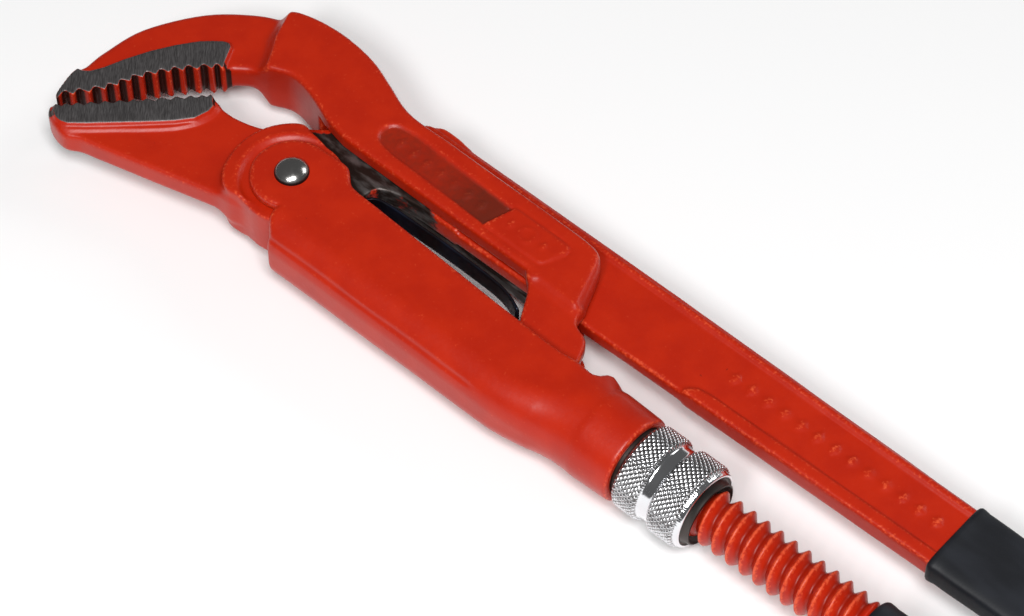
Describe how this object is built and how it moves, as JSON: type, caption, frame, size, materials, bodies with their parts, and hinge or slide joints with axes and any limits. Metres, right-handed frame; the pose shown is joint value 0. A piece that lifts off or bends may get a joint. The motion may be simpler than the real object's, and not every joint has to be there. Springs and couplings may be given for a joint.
{
  "type": "corner pipe wrench",
  "caption": "Corner pipe wrench with 45 degree toothed S-shaped jaws, a pivoting sleeve, a knurled adjusting nut on a threaded rod and two dipped handles.",
  "frame": {"origin": "centre of the grip between the two toothed jaws, on the tool's mid-plane", "axes": "+X along the handles towards their ends, +Y across the tool towards the crown of the hook, +Z out of the flat of the tool, along the pivot axis"},
  "size_m": [0.4211, 0.0735, 0.0274],
  "materials": {
    "red_paint": "semi-gloss powder coat over forged steel",
    "black_dip": "matte dipped vinyl",
    "blued_steel": "dark blued spring steel",
    "bare_steel": "polished bare steel",
    "chrome": "bright chrome, knurled"
  },
  "bodies": {
    "lever": {"jaw_lever": "red_paint", "upper_grip": "black_dip", "leaf_spring": "blued_steel", "spring_rivet": "bare_steel"},
    "housing": {"sleeve": "red_paint", "pivot_rivet": "bare_steel", "nut_ring": "bare_steel"},
    "nut": {"adjusting_nut": "chrome"},
    "slider": {"hook_jaw": "red_paint", "threaded_rod": "red_paint", "lower_grip": "black_dip"}
  },
  "joints": [
    {"name": "sleeve_pivot", "type": "hinge", "parent": "lever", "child": "housing", "pos_m": [0.0547, -0.0033, 0], "axis": [0, 0, 1], "range_deg": [-8, 1]},
    {"name": "jaw_slide", "type": "slide", "parent": "housing", "child": "slider", "axis": [1, 0, 0], "range_m": [-0.045, 0]},
    {"name": "nut_turn", "type": "hinge", "parent": "housing", "child": "nut", "pos_m": [0.18, -0.0072, 0], "axis": [1, 0, 0], "range_deg": [-10, 3735]}
  ],
  "couplings": [
    {"joint": "nut_turn", "follows": "jaw_slide", "rad_per_m": -1444.4}
  ]
}
